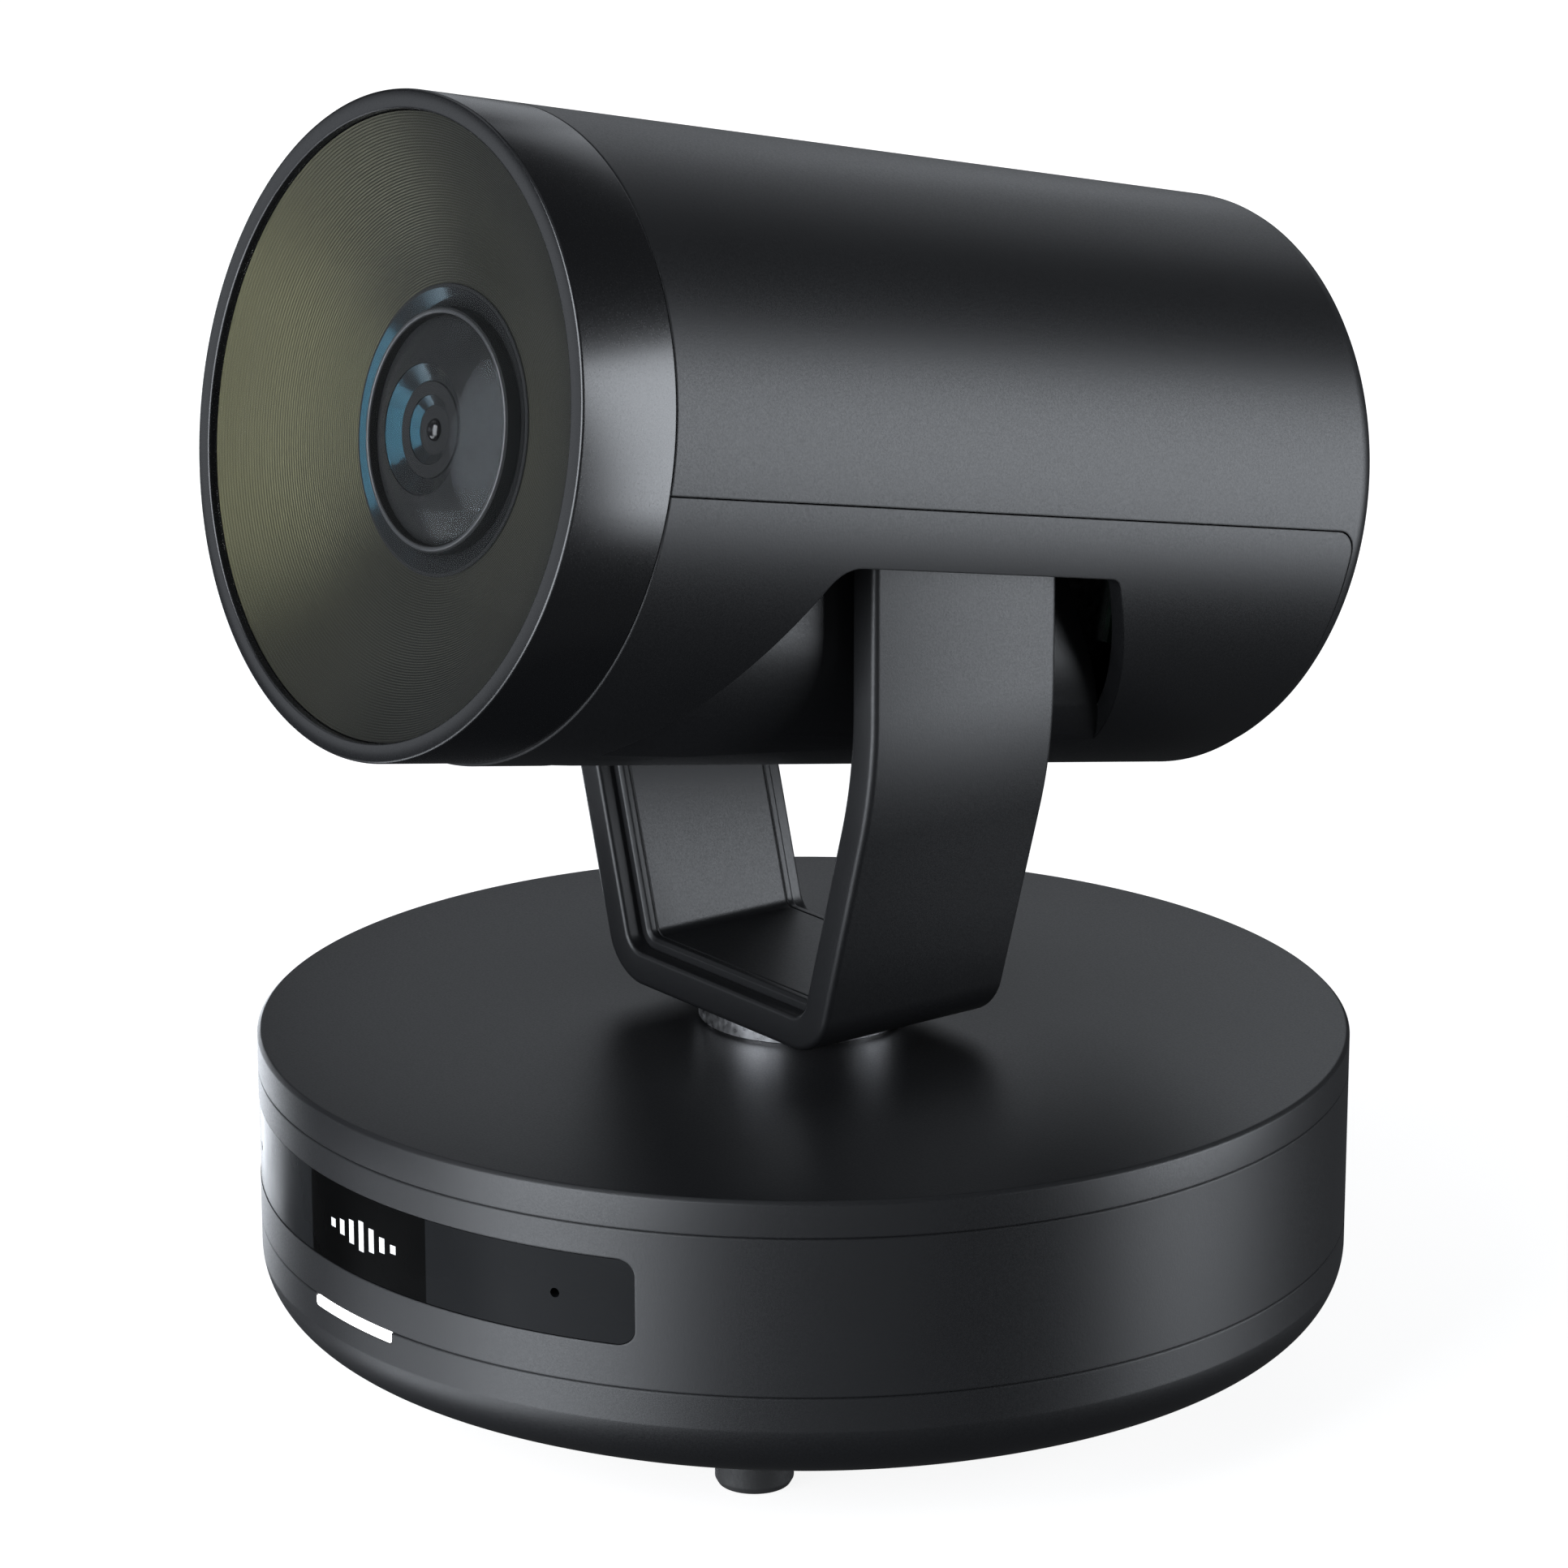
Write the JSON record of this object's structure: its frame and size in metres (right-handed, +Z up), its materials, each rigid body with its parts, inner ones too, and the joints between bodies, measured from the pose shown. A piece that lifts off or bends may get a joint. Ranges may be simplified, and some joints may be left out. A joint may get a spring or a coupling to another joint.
{
  "type": "ptz camera",
  "caption": "Desktop pan-tilt-zoom conference camera: drum base with a front window, panning U yoke and a tilting tubular head with a wide lens.",
  "frame": {"origin": "middle of the base, on the surface that its feet stand on", "axes": "+Z up, the lens and the front window face -Y, +X is at the camera's left as it looks out"},
  "size_m": [0.1508, 0.1511, 0.1836],
  "materials": {
    "charcoal_shell": "fine satin grain",
    "charcoal_satin": "smooth satin paint",
    "black_window": "polished smoked acrylic",
    "display_glass": "dark display",
    "light_guide": "lit white light guide",
    "front_glass": "coated flat cover glass",
    "lens_glass": "coated lens glass",
    "lens_black": "ridged light-trapping black",
    "inner_black": "moulded black",
    "rubber": "matt rubber",
    "steel": "zinc-plated steel",
    "brass": "turned brass",
    "bronze": "sintered bronze",
    "gear_plastic": "moulded acetal",
    "circuit_board": "solder-masked board"
  },
  "bodies": {
    "base": {"base_bottom_shell": "charcoal_shell", "base_wall_ring": "charcoal_shell", "base_lid": "charcoal_shell", "front_window": "black_window", "display_panel": "display_glass", "status_light": "light_guide", "status_light_board": "circuit_board", "microphones": "steel", "remote_receiver": "black_window", "rubber_feet": "rubber", "tripod_insert": "brass", "base_screws": "steel", "chassis_plate": "steel", "pan_bush": "bronze", "thrust_washer": "bronze", "pan_motor": "steel", "main_board": "circuit_board", "io_board": "circuit_board", "io_panel": "inner_black", "dc_inlet": "inner_black", "audio_socket": "inner_black", "hdmi_socket": "steel", "usb_socket": "steel", "lan_socket": "steel"},
    "pan_pinion": {"pan_motor_shaft": "steel", "pan_pinion": "gear_plastic"},
    "pan_yoke": {"yoke": "charcoal_shell", "yoke_inner_cover": "charcoal_shell", "yoke_screws": "steel", "pan_spindle": "steel", "pan_gear": "gear_plastic", "spindle_clip": "steel", "trunnions": "steel", "tilt_gear": "gear_plastic"},
    "head": {"head_upper_shell": "charcoal_shell", "head_lower_shell": "charcoal_shell", "front_ring": "charcoal_satin", "front_glass": "front_glass", "baffle": "lens_black", "lens_barrel": "lens_black", "front_lens": "lens_glass", "inner_lens_cell": "lens_black", "inner_lens": "lens_glass", "iris": "lens_black", "zoom_block": "inner_black", "sensor_board": "circuit_board", "video_board": "circuit_board", "head_frame": "steel", "head_screws": "steel", "tilt_bushes": "bronze", "tilt_motor": "steel"},
    "tilt_pinion": {"tilt_motor_shaft": "steel", "tilt_pinion": "gear_plastic"}
  },
  "joints": [
    {"name": "pan", "type": "hinge", "parent": "base", "child": "pan_yoke", "pos_m": [0, 0, 0.0492], "axis": [0, 0, 1], "range_deg": [-170, 170]},
    {"name": "pan_pinion_spin", "type": "hinge", "parent": "base", "child": "pan_pinion", "pos_m": [0, -0.0375, 0.038], "axis": [0, 0, 1], "range_deg": [-690, 690]},
    {"name": "tilt", "type": "hinge", "parent": "pan_yoke", "child": "head", "pos_m": [0, 0, 0.1286], "axis": [-1, 0, 0], "range_deg": [-40.7, 19.3]},
    {"name": "tilt_pinion_spin", "type": "hinge", "parent": "head", "child": "tilt_pinion", "pos_m": [0, 0.02211, 0.12442], "axis": [-1, 0, 0], "range_deg": [-170, 90]}
  ],
  "couplings": [
    {"joint": "pan_pinion_spin", "follows": "pan", "ratio": -4},
    {"joint": "tilt_pinion_spin", "follows": "tilt", "ratio": 4}
  ]
}
